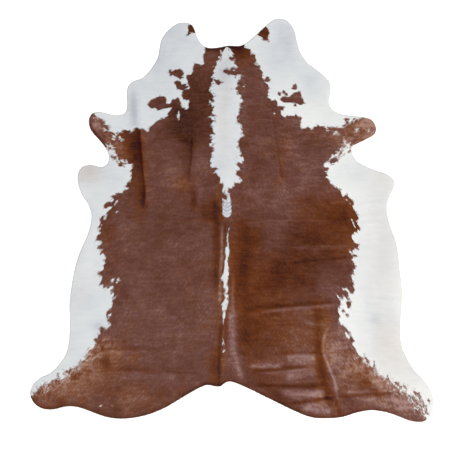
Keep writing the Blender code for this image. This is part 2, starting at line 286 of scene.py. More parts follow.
# Brown marks of their own, on the white.
BROWN_MARKS = {
    "blaze notch": (
        -11, 370, -5, 372, -2, 378, 4, 377, 3, 373, 9, 373, 12, 369, 14, 362, 9, 360, 5, 362,
        0, 362, -4, 361, -9, 363, -11, 367,
    ),
    "blaze point": (-21, 371, -12, 371, -11, 369, -15, 365),
    "blaze dot": (-42, 348, -35, 346, -29, 344, -30, 341, -34, 336, -38, 340),
    "blaze dash": (-9, 403, -3, 403, 5, 402, 2, 397, -5, 399),
    "cheek left": (-109, 476, -102, 484, -96, 482, -91, 466, -102, 466, -110, 460, -104, 470),
    "cheek right": (64, 460, 83, 478, 88, 471, 91, 466, 87, 456, 87, 449, 79, 449, 72, 456),
    "shoulder spot left": (
        -154, 374, -151, 367, -145, 367, -142, 371, -135, 370, -129, 374, -123, 370, -120, 363,
        -124, 358, -123, 354, -128, 352, -133, 356, -139, 358, -146, 362, -153, 361,
    ),
    "shoulder drop left": (
        -141, 343, -134, 345, -129, 343, -128, 338, -122, 336, -117, 336, -115, 334, -110, 330,
        -116, 327, -122, 323, -128, 327, -134, 327, -137, 335,
    ),
    "shoulder dot right": (83, 351, 88, 353, 92, 349, 90, 345, 84, 345),
    "shoulder fleck right": (148, 326, 151, 329, 152, 334, 156, 335, 158, 338, 159, 332, 157, 326),
    "shoulder mark right": (
        120, 301, 126, 305, 133, 307, 140, 303, 147, 309, 154, 314, 163, 318, 168, 316, 170, 310,
        168, 304, 175, 299, 173, 296, 177, 291, 173, 288, 166, 288, 160, 292, 152, 293, 142, 295,
        136, 293, 127, 295,
    ),
    "armpit island left": (-281, 140, -276, 143, -272, 139, -269, 135, -276, 136),
    "elbow islands left": (-304, 45, -312, 43, -316, 38, -315, 32, -311, 31, -308, 35, -303, 36),
    "armpit island right": (
        243, 143, 246, 149, 252, 154, 258, 153, 261, 150, 256, 147, 253, 144, 248, 146,
    ),
    "foreleg island right": (278, 251, 283, 253, 287, 251, 282, 249),
    "armpit dash right": (287, 170, 294, 174, 292, 171, 289, 169),
    "stifle islands right": (
        286, -202, 293, -202, 293, -206, 291, -210, 291, -215, 287, -215, 287, -208, 285, -205,
    ),
    "stifle strand": (328, -338, 331, -339, 339, -351, 336, -351),
    "shank island": (404, -400, 412, -402, 411, -407, 406, -404),
    "shank island low": (415, -412, 419, -411, 420, -417, 416, -417),
    "shank island end": (425, -408, 431, -414, 428, -414),
    "foot strand high": (
        451, -424, 457, -428, 463, -428, 468, -439, 473, -452, 479, -458, 474, -462, 470, -456,
        466, -446, 462, -434, 457, -433,
    ),
    "foot strand low": (466, -464, 476, -480, 474, -481, 465, -467),
    "foot strand end": (478, -464, 481, -471, 483, -481, 480, -476),
}
# Small brown flecks on the white: (x, y), radius.
FLECKS = (
    (27.5, -22.4, 0.12), (28.4, -23.4, 0.12), (48.7, -44.6, 0.15), (15.6, 28.5, 0.15),
    (11.7, 31.3, 0.25), (12.8, 31.8, 0.25), (13.4, 31.3, 0.25),
)

# Soft clouds: name, (x, y), reach along and across, change and, where one is turned, degrees.
#
# Tone of the brown coat, from 0, deep rust, to 1, pale mauve, where the pale mauve is painted
# sheen of reflected sky. The clouds hold the coat's own patches together with painted shade and
# painted sheen, as in the rows named for shade, light, sheen and hollows.
CLOUDS = (
    ("left neck", -8.5, 26.5, 6, 11, -0.28),
    ("withers", -11.6, 13.8, 1.9, 3.4, -0.16),
    ("left rust", -12.2, 9.2, 2.1, 1.9, 0.03),
    ("left foreleg", -33.0, 22.4, 2.8, 2.8, 0.28),
    ("left foreleg tip", -34.2, 24.8, 2, 2, 0.2),
    ("left shoulder gold", -27.7, 17.0, 2.2, 2.2, 0.2),
    ("left shoulder shade", -13.2, 24.0, 4.5, 6, -0.25),
    ("left wedge", -21.9, 4.3, 0.9, 2.8, -0.26, 5),
    ("left shank", -39.0, -41.0, 9, 4, 0.2, 25),
    ("left hock", -33.0, -36.5, 3, 4, 0.1),
    ("left foot", -47.3, -44.2, 3.5, 2.2, -0.02),
    ("left of the blaze", -8.0, 15.0, 2.4, 6, 0.16),
    ("left foot edge", -42.3, -45.3, 1.2, 1.6, -0.2),
    ("left thigh spot", -28.0, -47.0, 1.3, 1.2, -0.25),
    ("left thigh low", -25.0, -45.0, 5, 3, 0.12),
    ("left tail root", -4.0, -35.8, 1.5, 3.5, -0.4),
    ("left drop", -9.5, 5.4, 0.9, 2.8, -0.32),
    ("beside the drop", -8.0, 5.5, 0.8, 3, 0.12),
    ("beside the lens", -5.8, 2.0, 2.6, 2.6, -0.34),
    ("left low", -17.8, -28.0, 13, 9, 0.08),
    ("left chest", -14.5, 12.5, 7, 5, 0.16),
    ("left rust wing", -24.0, 16.5, 1.8, 6.5, -0.2),
    ("left shoulder rim", -17.5, 24.5, 3.2, 1.2, 0.14, 35),
    ("left poll", -4.8, 41.2, 1.6, 2.6, 0.14),
    ("left ankle", -42.6, -41.8, 3.2, 2, 0.12, 20),
    ("left loin", -5.5, -20.0, 2.5, 9, 0.06),
    ("left stifle wide", -30.0, -32.6, 4.8, 2.2, 0.2),
    ("left stifle", -31.2, -35.1, 1.4, 1.8, -0.44),
    ("right poll", 2.2, 42.4, 2.5, 2.0, -0.45),
    ("right neck", 7.5, 34.0, 3, 7, 0.1),
    ("right chest high", 12.0, 14.0, 4, 5, 0.06),
    ("right chest", 19.3, 17.9, 8, 5, 0.03),
    ("right upper ribs", 13.5, 7.5, 7, 5, 0.06),
    ("right of the stripe", 2.2, -11.0, 2.2, 13, -0.17),
    ("right withers warm", 17.8, 4.4, 3.4, 2.6, -0.16),
    ("right of the lens", 7.4, 2.4, 3, 2, -0.06),
    ("left of the tail", -3.6, -36.0, 1.3, 3, 0.12),
    ("right thigh light", 15.5, -28.0, 5, 3, 0.12),
    ("rump shade", 6.0, -39.0, 4, 3, -0.15),
    ("rump edge", 11.5, -43.4, 3.2, 1.4, -0.4, -28),
    ("rump hollow", 4.8, -33.4, 4, 1.4, -0.12),
    ("flank dark spot", 18.2, -15.0, 3, 2, -0.24),
    ("thigh beyond", 29.0, -38.5, 3.6, 3.8, 0.16),
    ("below the crease", 36.0, -44.7, 5, 1.4, 0.16, -15),
    ("thigh top", 27.4, -27.1, 1.8, 1.8, 0.2),
    ("right shank dark", 40.5, -43.2, 2.2, 1.3, -0.18, -20),
    ("right loin deep", 4.2, -24.0, 2.5, 10, -0.12),
    ("hock shade", 30.5, -41.0, 3.5, 2.5, -0.06),
    ("right foreleg", 33.5, 20.6, 4, 1.6, 0.24, 25),
    ("right foreleg tip", 34.5, 24.6, 4.2, 1.8, 0.3, 15),
    ("right elbow light", 28.0, 17.0, 3, 2, 0.12, 25),
    ("right withers rim", 15.3, 24.8, 2.6, 1.5, 0.2),
    ("right elbow shade", 27.5, 21.8, 2.5, 1.5, -0.06),
    ("right armpit", 27.0, 20.5, 4, 2.5, 0.14),
    ("right rib rust", 28.0, 0.5, 5, 4, -0.18),
    ("right flank rust", 17.0, -5.0, 5, 4, -0.2),
    ("right back light", 9.5, -9.8, 3.5, 3, 0.14),
    ("right thigh", 26.5, -34.5, 2.5, 4, 0.08),
    ("right shank", 37.0, -40.0, 7.5, 2.4, 0.22, -42),
    ("right hock edge", 33.0, -37.0, 2.5, 1.6, -0.08, -42),
    ("right foot", 43.0, -46.0, 5, 2.5, 0.16, -30),
    ("right hock dark", 33.6, -40.0, 2.6, 2.2, -0.2),
    ("right thigh low", 29.0, -45.0, 2.5, 2, -0.05),
    ("right thigh edge", 20.5, -45.0, 3, 2, 0.12),
    ("left cheek mark", -10.0, 47.6, 2, 2, -0.3),
    ("right cheek mark", 8.0, 46.5, 2, 2, -0.3),
    ("right ribs", 23.5, 2.5, 6, 3.5, -0.14),
    ("right back", 9.4, -12.2, 10, 8.8, -0.34),
    ("right back block", 4.3, -4.2, 3.2, 3.4, -0.22),
    ("right back tongue", 10.6, -3.0, 2.4, 4.5, 0.12),
    ("right back blotch", 3.2, -10.7, 1.2, 2.8, -0.12),
    ("right back spot", 11.7, -11.9, 1.9, 2.1, -0.12),
    ("flank sheen high", 20.7, -8.2, 1.8, 0.9, 0.15),
    ("flank mauve sheen", 24.3, -14.7, 4, 5, 0.12),
    ("right flank", 23.0, -8.0, 7, 9, -0.28),
    ("flank sheen", 24.0, -17.4, 3.5, 1.6, 0.1, 15),
    ("right loin", 6.4, -28.0, 7, 5, -0.26),
    ("thigh sheen", 25.2, -32.6, 2.5, 4, 0.25),
)
# Where the brown is thinned by white hairs, by share.
ROAN = (
    ("left foreleg", -33.5, 23.0, 3, 5, 0.5, 35),
    ("left shoulder curls", -28.8, 20.0, 2.6, 2.4, 0.45),
    ("left stifle", -35.0, -33.0, 6, 1.8, 0.7, 40),
    ("left shank", -40.5, -38.5, 8, 2.4, 0.75, 32),
    ("left foot", -47.5, -42.0, 4, 1.8, 0.7, 30),
    ("left thigh", -28.2, -44.0, 8, 2.5, 0.15),
    ("left flank", -30.8, -6.5, 2.2, 13, 0.3),
    ("right flank", 29.8, -13.0, 2, 9, 0.3),
    ("right foreleg", 33.0, 23.2, 4.5, 3, 0.45, 15),
    ("right armpit", 28.5, 17.6, 3, 3, 0.8),
    ("right forearm", 24.2, 21.6, 5, 1.6, 0.3),
    ("right shank", 37.5, -39.8, 9, 3.0, 0.85, -42),
    ("right foot", 46.0, -45.0, 4, 3, 0.95, -40),
    ("right thigh low", 28.0, -45.0, 10, 2.5, 0.4),
    ("thigh edge", 17.0, -46.0, 5, 2, 0.4),
    ("right thigh", 28.5, -33.0, 3.5, 6, 0.4),
)
# Where the edge of the brown breaks up most.
WILD = (
    ("left foreleg", -31.0, 20.5, 5, 5, 0.35),
    ("left armpit", -27.0, 13.5, 3.5, 2.5, 0.2),
    ("left shank", -42.0, -38.5, 9, 3, 0.7, 32),
    ("left stifle", -32.0, -29.0, 3, 4, 0.4),
    ("right foreleg", 30.0, 21.0, 6, 4, 0.4),
    ("right armpit", 27.0, 18.5, 2.5, 3, 0.6),
    ("blaze", -1.5, 25.0, 5, 16, 0.35),
    ("left shoulder", -15.0, 32.0, 6, 7, -0.6),
    ("right shoulder", 13.0, 30.0, 6, 5, -0.7),
    ("right shank", 38.0, -39.5, 8, 3, 0.5, -42),
    ("right foot", 45.0, -45.0, 4, 4, 0.4),
)
# Where the brown is a warm rust rather than mauve; the mauve is partly painted sheen of
# reflected sky.
WARM = (
    ("left shoulder", -25.8, 16.5, 4.5, 7.5, 1.0),
    ("left wedge", -22.5, 6.0, 1.5, 6, 0.9),
    ("left crease", -23.4, 14.0, 1.8, 9, 0.8),
    ("left shoulder shade", -13.5, 24.0, 5, 5, -0.5),
    ("left foot", -46.5, -44.5, 4, 3, 0.1),
    ("left foreleg", -33.0, 23.5, 4, 4, 0.3),
    ("left patch", -12.2, 9.2, 2.4, 2.2, 0.9),
    ("left drop", -9.5, 5.4, 1.0, 3, 0.6),
    ("beside the blaze", -6.5, 6.5, 1.8, 2.5, -0.6),
    ("beside the lens", -5.2, 3.0, 3.2, 3.4, 0.95),
    ("left of spine", -3.1, -11.0, 1.3, 18, 0.9),
    ("left tail root", -3.9, -37.0, 1.6, 5, 0.9),
    ("left flank", -31.0, -4.0, 2, 9, 0.45),
    ("left stifle", -30.5, -33.5, 6, 4, 0.8),
    ("left shank", -39.0, -40.0, 11, 5, 0.95, 28),
    ("left thigh", -25.0, -43.5, 9, 4.5, 0.55),
    ("left rump", -12.0, -35.5, 5, 3, -0.1),
    ("poll", 2.7, 42.0, 3, 3, 0.8),
    ("left cheek", -10.0, 47.6, 2, 2, 0.9),
    ("right cheek", 8.0, 46.5, 2, 2, 0.9),
    ("right shoulder", 12.8, 17.0, 1.2, 10, 0.5, -6),
    ("right foreleg", 31.5, 22.0, 8, 4.5, 0.85),
    ("right ribs", 29.5, 1.0, 5, 7, 1.1),
    ("spine right", 0.3, -12.0, 1.3, 9, 0.6),
    ("right upper flank", 22.5, 3.5, 4, 3, 0.3),
    ("right flank", 24.0, -5.0, 8, 7, 0.6),
    ("right back", 8.0, -15.5, 10, 9, 0.8),
    ("right back block", 4.9, -4.4, 3.2, 3.2, 0.7),
    ("right of the stripe", 2.2, -13.0, 2.2, 9, 0.6),
    ("right back tongue", 10.6, -3.0, 2.8, 5, -0.8),
    ("flank mauve sheen", 24.3, -14.7, 4, 5, -0.7),
    ("right loin", 12.0, -28.5, 12, 6, 0.6),
    ("thigh hollow", 21.9, -33.0, 2.4, 14, 1.0),
    ("right of the stripe high", 2.8, -8.0, 1.8, 7, 0.4),
    ("right withers warm", 18.2, 3.6, 3.4, 3, 0.25),
    ("left of the tail", -3.9, -36.0, 1.7, 3.5, 1.0),
    ("right thigh", 30.0, -38.0, 6, 6, 0.5),
    ("right thigh crest", 27.0, -35.0, 2.5, 4, -0.25),
    ("thigh hollow tail", 26.2, -46.8, 1.5, 2.5, 0.6),
    ("right rump", 10.0, -37.0, 8, 3, 0.4),
    ("right shank", 36.0, -40.5, 10, 4, 0.55, -38),
    ("right foot", 43.5, -46.0, 4, 3.5, -0.1),
    ("right of the spine", 0.6, -31.0, 1.1, 7, -0.3),
    ("right loin deep", 4.5, -24.0, 3, 11, 0.5),
    ("tail root right", 2.2, -38.0, 1.8, 4, -0.6),
)
# Where the white is creamy.
CREAM = (
    ("left elbow", -35.7, 12.0, 4, 3, 0.9),
    ("left belly", -37.6, -17.2, 3, 6, 0.25),
    ("blaze middle", -2.0, 27.3, 1.6, 14, 0.5),
    ("right elbow", 37.1, 10.5, 4, 3, 0.3),
    ("right belly", 39.1, -29.6, 4, 5, 0.6),
    ("right flank", 37.5, -8.0, 5, 22, 0.45),
    ("right foot", 43.0, -38.0, 8, 7, 0.5),
)
# Tone of the white coat, from 0, grey, to 1, bright. Most rows are painted shade where less light
# falls, as on the neck, the cheeks and beside the left shoulder's crease.
SHADE = (
    ("beside the left shoulder", -24.2, 27.5, 1.0, 4.5, -0.4, 4),
    ("left flank grey patch", -33.0, -25.9, 1.6, 1.4, -0.3),
    ("right flank grey patch", 35.4, -24.6, 1.6, 1.4, -0.3),
    ("blaze", -1.5, 26.0, 4, 12, -0.12),
    ("left cheek", -14.5, 44.0, 5, 6, -0.15),
    ("left neck", -17.0, 36.0, 6, 6, -0.18),
    ("blaze top", -1.2, 38.0, 2.5, 5, -0.25),
    ("right cheek", 13.5, 46.0, 4.5, 5, -0.42),
    ("right neck", 11.5, 37.0, 5, 6, -0.34),
    ("right nape", 17.0, 39.5, 3, 5, -0.2, 20),
    ("right shoulder", 20.5, 33.5, 4, 5, -0.3),
    ("right armpit", 30.5, 11.5, 4.5, 3, -0.25),
    ("right loin", 33.4, -19.7, 3, 5, -0.14),
    ("left elbow", -34.0, 11.0, 5, 3, -0.14),
    ("right flank", 37.5, -4.0, 5, 20, -0.24),
    ("right belly", 37.5, -30.0, 5, 8, -0.28),
    ("right hind foot", 45.0, -37.0, 5, 6, -0.15),
    ("back lens", -1.35, 3.4, 1.6, 3.2, -0.45),
    ("left belly", -37.0, -24.0, 4, 5, -0.08),
)

# Bands of painted sheen on crests and painted shade in furrows and beside the spine, which fade
# on both sides: name, half width, change, run.
CREASE_SHEEN_AND_SHADE = (
    ("left of spine", 1.0, -0.3, -42, 70, -39, 0, -39, -60, -38, -120, -40, -180),
    ("right of spine", 1.0, 0.36, 2, -215, 1, -246, 3, -308, 11, -350, 26, -405),
    ("spine light", 0.4, 0.24, 3, -130, 2, -180, 2, -230),
    ("spine crest left", 0.45, 0.42, -25, 0, -25, -80, -29, -140, -30, -210),
    ("spine furrow", 0.3, -0.15, -18, -10, -21, -90),
    ("beside the stripe", 0.45, -0.2, -15, -227, -15, -321),
    ("left tail furrow", 0.4, -0.3, -27, -250, -31, -330, -32, -415),
    ("thigh hollow", 1.1, -0.27, 210, -197, 213, -259, 215, -321, 223, -370, 233, -415, 252, -474),
    (
        "thigh crest", 0.4, 0.35, 240, -260, 230, -280, 224, -306, 225, -324, 233, -348, 252, -394,
        265, -469,
    ),
    ("loin crest", 0.35, 0.35, 64, -226, 131, -219, 181, -214, 262, -208),
    ("above the loin", 0.5, -0.2, 20, -219, 131, -211, 262, -199),
    ("loin short", 0.3, 0.3, 178, -253, 233, -259),
    ("flank light", 0.45, 0.22, 156, -71, 280, -67),
    ("flank dark", 0.35, -0.2, 134, -107, 200, -100, 287, -92),
    ("waist light", 0.25, 0.22, 69, 0, 262, 0),
    ("rump line", 0.25, -0.18, 120, -327, 213, -328),
    ("rump high", 1.3, 0.34, 132, -344, 210, -340),
    ("rump start", 0.65, 0.28, 40, -361, 130, -360),
    ("above the rump crest", 0.4, -0.25, 44, -371, 110, -368, 185, -360),
    ("rump crest", 0.25, 0.3, 69, -380, 137, -372, 213, -364),
    ("rump middle", 1.2, 0.3, 128, -388, 215, -382),
    ("rump fold", 0.3, -0.22, 158, -396, 215, -384),
    ("rump gap", 0.55, -0.35, 49, -407, 137, -410, 230, -410),
    ("rump low", 1.15, 0.42, 115, -424, 165, -429, 234, -430),
    ("under the rump", 0.4, -0.32, 140, -454, 185, -449, 250, -439),
    ("thigh dark across", 0.45, -0.2, 168, -445, 255, -436, 342, -432, 403, -427),
    ("thigh light across", 0.35, 0.3, 280, -426, 346, -421),
    ("thigh edge", 1.2, 0.32, 165, -462, 210, -468, 250, -474),
    ("thigh hollow tail", 0.6, -0.32, 259, -439, 261, -452, 264, -466, 268, -482),
    ("thigh fine", 0.3, -0.2, 238, -327, 312, -327),
    ("left stifle dark", 0.55, -0.13, -339, -318, -277, -316, -208, -314),
    ("left stifle fine", 0.25, -0.1, -330, -302, -255, -301),
    ("left stifle light", 0.3, 0.12, -332, -327, -270, -323, -208, -321),
    ("left rump", 0.35, -0.15, -290, -366, -210, -371, -140, -374, -80, -377),
    ("left rump light", 0.9, 0.12, -260, -381, -190, -386, -135, -389),
    ("left belly", 0.3, 0.06, -250, -213, -150, -216, -70, -218),
    ("flank line", 0.22, 0.2, 135, -69, 168, -66, 240, -63, 295, -63),
    ("right waist", 0.4, -0.12, 10, 2, 143, -1, 292, 1),
    ("left waist", 0.6, 0.06, -297, 6, -154, 4, -35, 4),
)
# Edges of tone along a crease, mostly painted shade on one side of it: name, reach to the left
# and right, change on each side, run.
EDGES = (
    (
        "left shoulder", 0.3, 2.2, 0.05, -0.5, -245, 333, -235, 261, -226, 221, -223, 170,
        -217, 110, -213, 66, -220, 18,
    ),
    ("right shoulder", 1.8, 0.4, -0.2, 0.05, 95, 297, 103, 224, 111, 170, 119, 116, 126, 88),
    ("withers down", 0.3, 0.6, -0.15, -0.3, -97, 207, -101, 150, -107, 105),
    ("withers across", 0.4, 0.4, -0.1, -0.15, -133, 196, -107, 197),
)
# Fine creases on top of the part's folds: name, rise in metres, half width, run.
CREASES = (
    ("left shoulder", 0.0007, 0.6, -245, 310, -235, 261, -223, 170, -217, 96, -215, 40),
    ("right shoulder", 0.0018, 0.6, 95, 297, 103, 224, 111, 170, 126, 88),
    ("withers down", 0.001, 0.35, -97, 207, -101, 150, -107, 105),
    ("withers across", 0.0006, 0.35, -133, 197, -107, 198),
    ("spine", 0.0018, 0.7, -26, 0, -25, -120, -23, -220, -26, -330, -30, -395),
    ("thigh", 0.0024, 0.5, 243, -249, 224, -306, 225, -324, 233, -348, 252, -394, 265, -469),
    ("loin", 0.0024, 0.45, 30, -229, 131, -219, 181, -214, 262, -208),
    ("loin short", 0.0018, 0.4, 178, -253, 233, -259),
    ("right flank", 0.0014, 0.5, 156, -71, 280, -67),
    ("rump", 0.0024, 0.45, 69, -380, 137, -372, 213, -364),
    ("rump high", 0.0014, 0.5, 80, -334, 140, -333, 210, -332),
    ("rump low", 0.0016, 0.6, 80, -420, 156, -426, 234, -426),
    ("thigh across", 0.0022, 0.45, 168, -434, 255, -429, 346, -421, 400, -416),
    ("thigh fine", 0.0012, 0.4, 238, -322, 312, -322),
    ("left stifle", 0.0018, 0.5, -342, -324, -253, -321, -193, -320, -80, -320),
    ("left rump", 0.0014, 0.5, -297, -371, -203, -376, -79, -382),
    ("left belly", 0.001, 0.45, -250, -216, -150, -219, -67, -221),
    ("right waist", 0.0012, 0.5, 10, 6, 143, 3, 292, 5, 375, 14),
    ("left waist", 0.0012, 0.5, -330, 10, -154, 4, -35, 4),
    ("right elbow", 0.0016, 0.5, 310, 36, 360, 44, 400, 39),
    ("right belly", 0.0014, 0.5, 315, -12, 360, -6, 405, -18),
    ("right stifle", 0.0014, 0.5, 335, -190, 370, -198, 410, -196),
)
# Which way the coat lies: x from the spine, y, how much outwards and how much back.
NAP = (
    (1, 42, 0.5, 0.8), (9, 44, 0.9, 0.3), (14, 47, 0.9, 0.1), (2, 32, 1.0, 0.4), (2, 18, 1.0, 0.35),
    (9, 33, 0.9, 0.6), (9, 18, 0.75, 0.7), (25, 9, 0.75, 0.65), (22, 38, 1.0, 0.3),
    (20, 26, 0.9, 0.4), (32, 22, 0.8, -0.55), (37, 25, 0.75, -0.6), (28, 16, 1.0, -0.4),
    (38, 10, 1.0, 0.3), (1, 4, 0.5, 0.9), (1, -20, 0.35, 0.95), (1, -38, 0.4, 0.9),
    (14, 4, 0.55, 0.85), (14, -20, 0.5, 0.9), (14, -38, 0.6, 0.85), (30, 2, 0.64, 0.77),
    (31, -15, 0.64, 0.77), (38, -10, 0.8, 0.6), (38, -26, 0.7, 0.75), (29, -31, 0.6, 0.8),
    (36, -38, 0.58, 0.81), (46, -44, 0.58, 0.81), (22, -46, 0.7, 0.8),
)
# Stretches of the cut edge with painted shade, where the hair overhangs it: (x, y), reach,
# change of tone.
SHADED_RIMS = (
    (-1.0, 43.2, 7, -1.1), (-35.5, 20.5, 4.5, -1.2), (-48.0, -46.0, 6, -0.6),
    (-30.0, -49.0, 12, -0.6), (-8.0, -42.0, 9, -0.6), (14.0, -44.0, 14, -0.6),
    (32.0, -50.0, 10, -0.45),
)


# ---------------------------------------------------------------- curves, noise and rasters

NOISE_CELLS = 512  # how many cells of noise there are before it repeats
STREAK_STEPS, STREAK_STRENGTH = 7, 5  # how many readings a streak is drawn from, and its gain
STRIDE = 12  # how many stretches of a polyline are looked at together
FAR = 9.0  # metres, beyond every reach


def chart(points):
    """Points that are drawn on the chart, in metres."""
    return np.reshape(points, (-1, 2)) / 10 * UNIT


def spline(points, step, closed=False):
    """A smooth run through points, with points about step apart."""
    p = np.array(points, float)
    ends = (p[-1:], p[:2]) if closed else (2 * p[0] - p[1], 2 * p[-1] - p[-2])
    p = np.vstack([ends[0], p, ends[1]])
    run = []
    for a, b, c, d in zip(p[:-3], p[1:-2], p[2:-1], p[3:]):
        n = max(1, round(math.dist(b, c) / step))
        k1, k2, k3 = (max(math.dist(u, v), 1e-9) ** 0.5 for u, v in ((a, b), (b, c), (c, d)))
        m1 = (b - a) / k1 - (c - a) / (k1 + k2) + (c - b) / k2
        m2 = (c - b) / k2 - (d - b) / (k2 + k3) + (d - c) / k3
        t = (np.arange(n) / n)[:, None]
        run.append(
            (2 * t**3 - 3 * t**2 + 1) * b + (t**3 - 2 * t**2 + t) * m1 * k2
            + (3 * t**2 - 2 * t**3) * c + (t**3 - t**2) * m2 * k2
        )
    run = np.vstack(run)
    return run if closed else np.vstack([run, p[-2]])


def between_corners(values, i, j, k, m, u, v):
    """A table read between its corners i to k and j to m, at the shares u and v."""
    return (values[i, j] * (1 - u) + values[k, j] * u) * (1 - v) + (
        values[i, m] * (1 - u) + values[k, m] * u
    ) * v


def noise(x, y, size, seed):
    """Smooth noise from 0 to 1 with features of about size metres."""
    n, middle = NOISE_CELLS, 2 * NOISE_CELLS + 0.5
    table = np.random.default_rng(seed).random((n, n))
    u, v = x / size + middle, y / size + middle
    i, j = np.floor(u).astype(int), np.floor(v).astype(int)
    u, v = u - i, v - j
    u, v = u * u * (3 - 2 * u), v * v * (3 - 2 * v)
    return between_corners(table, i % n, j % n, (i + 1) % n, (j + 1) % n, u, v)


def mottle(x, y, *layers):
    """Layers of noise about 0: strength, size, seed."""
    return sum(strength * (noise(x, y, size, seed) - 0.5) for strength, size, seed in layers)


def streaks(x, y, dx, dy, size, reach, seed):
    """Noise about 0, mostly within -1 to 1, that is drawn out along the way the coat lies."""
    steps = np.linspace(-reach / 2, reach / 2, STREAK_STEPS)
    total = sum(noise(x + dx * t, y + dy * t, size, seed) for t in steps)
    return (total / STREAK_STEPS - 0.5) * STREAK_STRENGTH


def smooth(x, low, high):
    """From 0 at low to 1 at high."""
    t = np.clip((x - low) / (high - low), 0, 1)
    return t * t * (3 - 2 * t)


class Field:
    """Values on a square raster over the hide, read between its points."""

    def __init__(self, values, step=FIELD_STEP):
        self.values, self.step, self.n = values, step, values.shape[0]

    def __call__(self, x, y):
        u = np.clip(x / self.step + (self.n - 1) / 2, 0, self.n - 1.001)
        v = np.clip(y / self.step + (self.n - 1) / 2, 0, self.n - 1.001)
        i, j = u.astype(int), v.astype(int)
        return between_corners(self.values, i, j, i + 1, j + 1, u - i, v - j)


def raster(step):
    n = 2 * math.ceil(HALF_SIDE / step) + 1
    axis = (np.arange(n) - (n - 1) / 2) * step
    return np.meshgrid(axis, axis, indexing="ij")


def blurred(values):
    """Blurred over about one raster cell each way."""
    k = np.exp(-0.5 * np.arange(-3, 4) ** 2)
    k /= k.sum()
    for _ in range(2):
        values = np.apply_along_axis(lambda r: np.convolve(r, k, "same"), 0, values).T
    return values


def nearest(x, y, line, reach):
    """Points near a polyline: which, how far off, on which side, how far along from 0 to 1."""
    line = np.asarray(line)
    far, side, along = np.full(len(x), FAR), np.zeros(len(x)), np.zeros(len(x))
    lengths = np.hypot(*np.diff(line, axis=0).T)
    start = np.concatenate(([0], np.cumsum(lengths)))
    for first in range(0, len(line) - 1, STRIDE):
        part = line[first : first + STRIDE + 1]
        (low_x, low_y), (high_x, high_y) = part.min(0) - reach, part.max(0) + reach
        near = np.flatnonzero((x > low_x) & (x < high_x) & (y > low_y) & (y < high_y))
        px, py = x[near], y[near]
        for k, (a, b) in enumerate(zip(part[:-1], part[1:]), first):
            e = (b - a) / max(lengths[k], 1e-9)
            u, v = px - a[0], py - a[1]
            t = np.clip(u * e[0] + v * e[1], 0, lengths[k])
            d = np.hypot(u - t * e[0], v - t * e[1])
            closer = d < far[near]
            which = near[closer]
            far[which], along[which] = d[closer], (start[k] + t[closer]) / start[-1]
            side[which] = np.sign(e[0] * v - e[1] * u)[closer]
    near = np.flatnonzero(far < FAR)
    return near, far[near], side[near], along[near]


def inside(x, y, ring):
    """Which points lie inside a closed ring."""
    odd = np.zeros(len(x), bool)
    ring = np.vstack([ring, ring[:1]])
    for first in range(0, len(ring) - 1, STRIDE):
        part = ring[first : first + STRIDE + 1]
        low, high = part.min(0), part.max(0)
        level = np.flatnonzero((y >= low[1]) & (y <= high[1]) & (x < high[0]))
        px, py, flips = x[level], y[level], np.zeros(len(level), bool)
        for (ax, ay), (bx, by) in zip(part[:-1], part[1:]):
            if ay != by:
                flips ^= ((ay > py) != (by > py)) & (px < ax + (py - ay) * (bx - ax) / (by - ay))
        odd[level] ^= flips
    return odd


def depth_in(x, y, ring, reach):
    """How deep each point lies inside a ring, up to reach, and below 0 outside it."""
    far = np.full(len(x), reach)
    near, off, _, _ = nearest(x, y, np.vstack([ring, ring[:1]]), reach)
    far[near] = np.minimum(off, reach)
    return np.where(inside(x, y, ring), far, -far)


# ---------------------------------------------------------------- the part's outline and folds


def part_outline():
    """The part's cut edge: the border of its flat underside, smoothly divided."""
    mesh = HIDE.data
    co = np.zeros(len(mesh.vertices) * 3)
    mesh.vertices.foreach_get("co", co)
    co = co.reshape(-1, 3)
    _, first, same = np.unique(np.round(co, 5), axis=0, return_index=True, return_inverse=True)
    same, border = same.reshape(-1), set()
    for polygon in mesh.polygons:
        if polygon.normal.z < -0.5:
            corners = [int(same[v]) for v in polygon.vertices]
            for a, b in zip(corners, corners[1:] + corners[:1]):
                if (b, a) in border:
                    border.remove((b, a))
                else:
                    border.add((a, b))
    following = dict(border)
    ring = [min(following)]
    while following[ring[-1]] != ring[0]:
        ring.append(following[ring[-1]])
    ring = co[first[ring], :2]
    x, y = ring.T
    if (x * np.roll(y, -1) - y * np.roll(x, -1)).sum() < 0:
        ring = ring[::-1]
    return spline(ring, RIM_STEP, closed=True)


def part_lift():
    """How far the folds lift the hide off the floor."""
    x, y = raster(RAY_STEP)
    mesh = HIDE.data
    tree = BVHTree.FromPolygons([v.co for v in mesh.vertices], [p.vertices for p in mesh.polygons])
    lift, known = np.zeros(x.size), np.zeros(x.size)
    for k, (a, b) in enumerate(zip(x.ravel(), y.ravel())):
        hit = tree.ray_cast(Vector((a, b, 1.0)), Vector((0, 0, -1)))[0]
        if hit is not None:
            lift[k], known[k] = max(0.0, hit.z - CAD_DEPTH), 1.0
    lift, known = (blurred(v.reshape(x.shape)) for v in (lift, known))
    return Field(lift / np.maximum(known, 0.05), RAY_STEP)


OUTLINE = part_outline()
GX, GY = raster(FIELD_STEP)
SHAPE = GX.shape
GX, GY = GX.ravel(), GY.ravel()
EDGE_DEPTH = depth_in(GX, GY, OUTLINE, EDGE_REACH)
OVER = EDGE_DEPTH > -PAST_EDGE
# The raster's points over the hide, and how deep they lie inside the cut edge.
X, Y, DEEP = GX[OVER], GY[OVER], EDGE_DEPTH[OVER]


def field(values, outside=0.0):
    """A field from values at the raster's points over the hide."""
    full = np.full(len(GX), float(outside))
    full[OVER] = values
    return Field(full.reshape(SHAPE))


edge_depth = Field(EDGE_DEPTH.reshape(SHAPE))


# ---------------------------------------------------------------- the coat's charts
#
# Every layer of noise has its own seed: tens for the brown, twenties for the white and the rust,
# thirties for the lie, forties for the relief and fifties for the locks.


